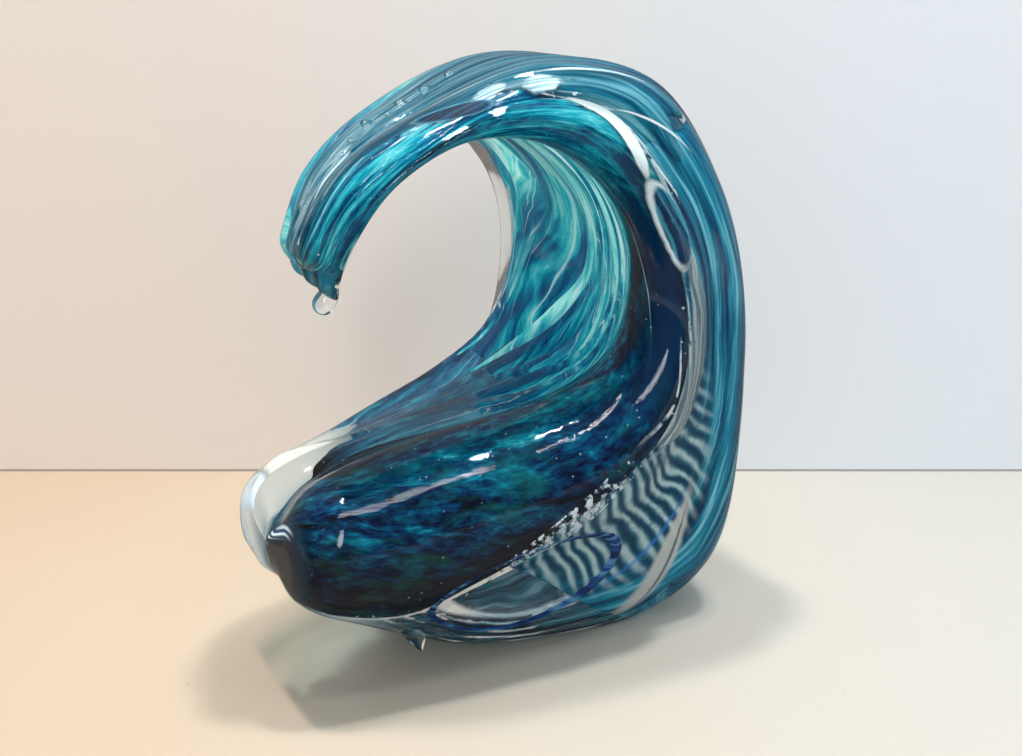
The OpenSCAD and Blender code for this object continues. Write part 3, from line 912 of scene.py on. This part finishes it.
def fin_spots(t, angle, p, q):
    s = Section(t)
    start, end = s.face_start(), s.face_end()
    feet = []
    for a in (start + (end - start) * face_share(2 * CANES), end):
        r = s.skin(a) - 0.6
        feet.append(np.stack([s.centre - r * np.cos(np.radians(a)), r * np.sin(np.radians(a))], -1))
    along = feet[1] - feet[0]
    wide = np.linalg.norm(along, axis=1)
    out = np.stack([-along[:, 1], along[:, 0]], -1) / wide[:, None]
    x = 2 * q - 1
    tall = (FIN_THICK / 2 + FIN_HIGH * np.sin(math.pi * p)) * (1 - np.sqrt(x**2 + 0.01))
    tall = np.maximum(tall * (1 + 0.03 * np.sin(31 * t)), -0.4)
    at = (feet[0] + feet[1]) / 2 + along * (x * (0.3 + 0.2 * np.abs(x)))[:, None] + out * tall[:, None]
    x3, z3 = s.middle[:, 0] + s.up[:, 0] * at[:, 1], s.middle[:, 1] + s.up[:, 1] * at[:, 1]
    return np.stack([x3, at[:, 0], z3], -1) * MM


finished(grid_piece(110, 28, lambda p, q: (0.4167 + 0.3 * p, 150 + 20 * q), fin_spots),
         "fin_glass", "clear_glass", clear_glass("thin clear glass", "fbfefe", 0.02, 1.1), "far_fin")

# Fingers pulled from the end of the crest: place across it, fullness and length as a share
FINGERS = [(-15.6, 1, 1), (-6.8, 0.85, 0.75), (0.8, 0.7, 0.5)]
FINGER_LONG, FINGER_BEND, FINGER_WIDE, DROP_WIDE = 3, 4, 4.1, 5.5


def at_tip(spot):
    """The way up and the way out at the end of the wave, and its middle at a place across it"""
    tip = Section(np.array([1.0]))
    up = Vector((tip.up[0, 0], 0, tip.up[0, 1]))
    return up, Vector((up.z, 0, -up.x)), Vector((tip.middle[0, 0], spot, tip.middle[0, 1]))


def finger(spot, full, length, sink, scale=1.0):
    """A round-ended finger that bends towards the hollow"""
    up, way, base = at_tip(spot)
    bm = bmesh.new()
    bmesh.ops.create_uvsphere(bm, u_segments=28, v_segments=28, radius=1)
    for v in bm.verts:
        x, y, z = v.co
        g = (z + 1) / 2
        rise = math.sqrt(max(1e-9, 1 - z**10) / max(1e-9, 1 - z**2)) if abs(z) < 0.9999 else 1
        r = rise * full * FINGER_WIDE * (1 - 0.45 * g * g) * scale * (1 + 0.04 * math.sin(5 * x + 9 * g))
        centre = base + (way * FINGER_LONG * (g + sink * (g - 1)) + up * FINGER_BEND * g * g) * length
        v.co = (centre + up * x * r + Vector((0, y * r, 0))) * MM
    return bm


def with_flow(bm):
    """Gives plain pieces the same map as the wave, at its tip"""
    flow = bm.loops.layers.uv.new("flow")
    for face in bm.faces:
        face.smooth = True
        for loop in face.loops:
            at = loop.vert.co / MM
            loop[flow].uv = ((at.z + at.x) / WAVE_RUN, at.y / GIRTH + 0.2)
    bmesh.ops.recalc_face_normals(bm, faces=bm.faces)
    return bm


finished(with_flow(joined([finger(*f, 1.6) for f in FINGERS])), "finger_glass", "clear_glass",
         bpy.data.materials["clear glass"], "crest_fingers")
finished(with_flow(joined([finger(*f, 2.2, 0.5) for f in FINGERS])), "finger_colour",
         "grey_blue_glass", bpy.data.materials["grey blue glass"])


def drop():
    """The drop at the end of the first finger"""
    up, way, base = at_tip(FINGERS[0][0])
    end = base + way * FINGER_LONG + up * FINGER_BEND
    bm = bmesh.new()
    bmesh.ops.create_uvsphere(bm, u_segments=32, v_segments=24, radius=DROP_WIDE / 2)
    for v in bm.verts:
        # The drop's upper side is drawn out into the finger
        rise = v.co.z * (1 if v.co.z > 0 else 2)
        v.co = (end + up * v.co.x + Vector((0, v.co.y, 0)) + way * (rise + 0.3 * DROP_WIDE)) * MM
    return bm


finished(with_flow(drop()), "drop_glass", "clear_glass", bpy.data.materials["clear glass"], "crest_drop")


def settled(bm, t, angle, deep, stretch):
    """Stretches a ball and moves it to a depth in mm under the skin"""
    s, angle = Section(np.array([t])), np.array([angle])
    bmesh.ops.scale(bm, vec=stretch, verts=bm.verts)
    bmesh.ops.translate(bm, vec=Vector(s.place(angle, s.skin(angle) - deep)[0]), verts=bm.verts)
    return bm


# Droplets on the crest: t, angle and radius in mm
BEADS = [(0.834, -110, 0.9), (0.85, -104, 1.2), (0.866, -108, 1.0), (0.89, -110, 1.2), (0.905, -96, 0.9),
         (0.878, -90, 0.7)]


def bead(t, angle, size):
    bm = bmesh.new()
    bmesh.ops.create_uvsphere(bm, u_segments=16, v_segments=12, radius=size * MM)
    return settled(bm, t, angle, 0.5, (1.8, 1, 0.9))


finished(with_flow(joined([bead(*b) for b in BEADS])), "crest_beads", "clear_glass",
         bpy.data.materials["clear glass"])


def drip():
    """A small pointed drip where the toe meets the foot"""
    bm = bmesh.new()
    bmesh.ops.create_uvsphere(bm, u_segments=24, v_segments=20, radius=1)
    for v in bm.verts:
        x, y, z = v.co
        g = (1 - z) / 2
        wide = (1 - 0.75 * g * g) * 2.6
        v.co = Vector((x * wide * 1.5 + 3 * g - 47.5, y * wide - 2 * g - 17.5, 5.2 * z + 11.8)) * MM
    return bm


finished(with_flow(drip()), "toe_drip", "clear_glass", bpy.data.materials["clear glass"])

BUBBLES = 26


def bubble(i):
    """A small bubble caught under the skin"""
    bm = bmesh.new()
    bmesh.ops.create_icosphere(bm, subdivisions=2, radius=(0.16 + 0.3 * ((i * 0.27) % 1) ** 2) * MM)
    t, angle = 0.06 + 0.9 * ((i * 0.618) % 1), -110 + 240 * ((i * 0.382 + 0.17) % 1)
    return settled(bm, t, angle, 2.2, (1.5, 1, 1))


def bubble_glass():
    """Air in glass bends light the other way"""
    material = blank("bubble glass")
    glass = node("BsdfPrincipled", {
        "Base Color": mixed(noise(900.0), tone("eef7f8"), tone("ffffff")), "Roughness": 0.0, "IOR": 0.68,
        "Transmission Weight": 1.0})
    surfaced(lets_lamps_in(glass, (0.95, 0.98, 0.98, 1)))
    return material


finished(with_flow(joined([bubble(i) for i in range(BUBBLES)])), "seed_bubbles", "clear_glass",
         bubble_glass())

# Stage, light and camera
CAMERA_TURN, CAMERA_RISE, CAMERA_AWAY = -28, 17, 0.385
LOOK_AT = Vector((-0.006, 0.003, 0.070))
LENS, WALL_AWAY, ROOM = 49.3, 0.112, 4
TURN, RISE = math.radians(CAMERA_TURN), math.radians(CAMERA_RISE)
# Away from the camera and to its right, along the floor
AWAY, SIDE = Vector((-math.sin(TURN), math.cos(TURN), 0)), Vector((math.cos(TURN), math.sin(TURN), 0))


def reflected():
    """The room is darker in reflections, not through the glass"""
    path = node("LightPath")
    return path.twin("Is Glossy Ray") * (1.0 - path.twin("Is Transmission Ray"))


def left_to_right(*stops):
    """Colours of the room from its left to its right, warmer on the left as painted warm light"""
    side_on = node("VectorMath", {0: here(), 1: tuple(SIDE)}, "Value", operation="DOT_PRODUCT")
    return ramp(fitted(side_on, -0.16, 0.16), *stops)


def floor_paint():
    material = blank("painted floor")
    # Painted warm light: the floor is warmer on the left
    colour = left_to_right((0.0, "b7a28a"), (0.45, "b6ad9f"), (1.0, "b0b0ab"))
    colour = mixed(noise(9.0, 3.0) * 0.3, colour, tone("b8b2a6"))
    cells = node("TexVoronoi", {"Vector": here(), "Scale": 60.0}, "Distance")
    colour = mixed(maths("LESS_THAN", cells, 0.03) * 0.35, colour, tone("8a8074"))
    colour = mixed(reflected() * 0.7, colour, tone("14181c"))
    bump = node("Bump", {"Strength": 0.15, "Distance": 0.0004, "Height": noise(900.0, 4.0)})
    paint = node("BsdfPrincipled", {"Base Color": colour, "Roughness": 0.6, "Normal": bump})
    # Far from the glass the floor fades into the pale room
    reach = node("VectorMath", {0: here()}, "Value", operation="LENGTH")
    haze = node("Emission", {0: tone("dedbd8"), 1: 1.0})
    surfaced(node("MixShader", {0: fitted(reach, 0.4, 0.9), 1: paint, 2: haze}))
    return material


def wall_paint():
    material = blank("painted wall")
    # Painted warm light: the wall is warmer on the left
    colour = left_to_right((0.0, "eee2da"), (0.5, "eae6e4"), (1.0, "e9edf3"))
    colour = mixed(reflected() * 0.7, colour, tone("14181c"))
    # Painted shade: a thin dark line where the wall meets the floor
    foot = maths("LESS_THAN", node("SeparateXYZ", {0: here()}, 2), 0.0009)
    paint = node("BsdfDiffuse", {0: mixed(foot * 0.6, colour, tone("6f665c"))})
    behind = node("NewGeometry", out="Backfacing")
    surfaced(node("MixShader", {0: behind, 1: paint, 2: node("BsdfTransparent")}))
    return material


def backdrop():
    """A pale floor and a pale wall close behind, which is clear when seen from behind"""
    bm = bmesh.new()
    bmesh.ops.create_grid(bm, x_segments=1, y_segments=1, size=ROOM)
    floor_mesh = bpy.data.meshes.new("floor")
    bm.to_mesh(floor_mesh)
    floor = bpy.data.objects.new("floor", floor_mesh)
    for v in bm.verts:
        v.co = Vector((LOOK_AT.x, LOOK_AT.y, v.co.y + ROOM - 0.01)) + AWAY * WALL_AWAY + SIDE * v.co.x
    bmesh.ops.recalc_face_normals(bm, faces=bm.faces)
    wall_mesh = bpy.data.meshes.new("wall")
    bm.to_mesh(wall_mesh)
    bm.free()
    if wall_mesh.polygons[0].normal.dot(AWAY) > 0:
        wall_mesh.flip_normals()
    wall = bpy.data.objects.new("wall", wall_mesh)
    floor_mesh.materials.append(floor_paint())
    wall_mesh.materials.append(wall_paint())
    for thing in (floor, wall):
        bpy.context.scene.collection.objects.link(thing)


def lamp(name, place, power, size, colour, tall=None):
    data = bpy.data.lights.new(name, "AREA")
    data.energy, data.size, data.color = power, size, colour
    if tall:
        data.shape, data.size_y = "RECTANGLE", tall
    thing = bpy.data.objects.new(name, data)
    thing.location = place
    thing.rotation_mode = "QUATERNION"
    thing.rotation_quaternion = (Vector(place) - Vector((0, 0, 0.06))).to_track_quat("Z", "Y")
    bpy.context.scene.collection.objects.link(thing)


def light_and_camera():
    lamp("ceiling lamp right", AWAY * 0.05 + SIDE * 0.15 + Vector((0, 0, 0.95)), 5.9, 0.06, (1, 0.98, 0.95))
    lamp("ceiling lamp left", AWAY * 0.05 - SIDE * 0.13 + Vector((0, 0, 0.9)), 4.65, 0.06, (1, 0.95, 0.9))
    lamp("strip lamp", SIDE * 0.05 - AWAY * 0.25 + Vector((0, 0, 0.7)), 0.9, 0.45, (1, 1, 1), tall=0.015)
    lamp("window", (-0.55, -1.0, 0.75), 2.8, 0.16, (0.93, 0.97, 1), tall=0.5)
    world = bpy.data.worlds.new("soft room")
    bpy.context.scene.world = world
    world.use_nodes = True
    trees.append(world.node_tree)
    trees[-1].nodes.clear()
    path = node("LightPath")
    strength = 0.6 - reflected() * 0.48
    room = node("Background", {0: (0.86, 0.94, 1, 1), 1: strength})
    seen = node("Background", {0: tone("dedbd8"), 1: 1.0})
    mix = node("MixShader", {0: path.twin("Is Camera Ray"), 1: room, 2: seen})
    node("OutputWorld", {0: mix})
    back = Vector((math.sin(TURN) * math.cos(RISE), -math.cos(TURN) * math.cos(RISE), math.sin(RISE)))
    data = bpy.data.cameras.new("camera")
    data.lens = LENS
    camera = bpy.data.objects.new("camera", data)
    camera.location = LOOK_AT + back * CAMERA_AWAY
    camera.rotation_mode = "QUATERNION"
    camera.rotation_quaternion = back.to_track_quat("Z", "Y")
    bpy.context.scene.collection.objects.link(camera)
    scene = bpy.context.scene
    scene.camera = camera
    scene.view_settings.view_transform = "Standard"
    scene.cycles.max_bounces = 24
    scene.cycles.transmission_bounces = 20
    scene.cycles.transparent_max_bounces = 48
    scene.cycles.sample_clamp_indirect = 4


backdrop()
light_and_camera()
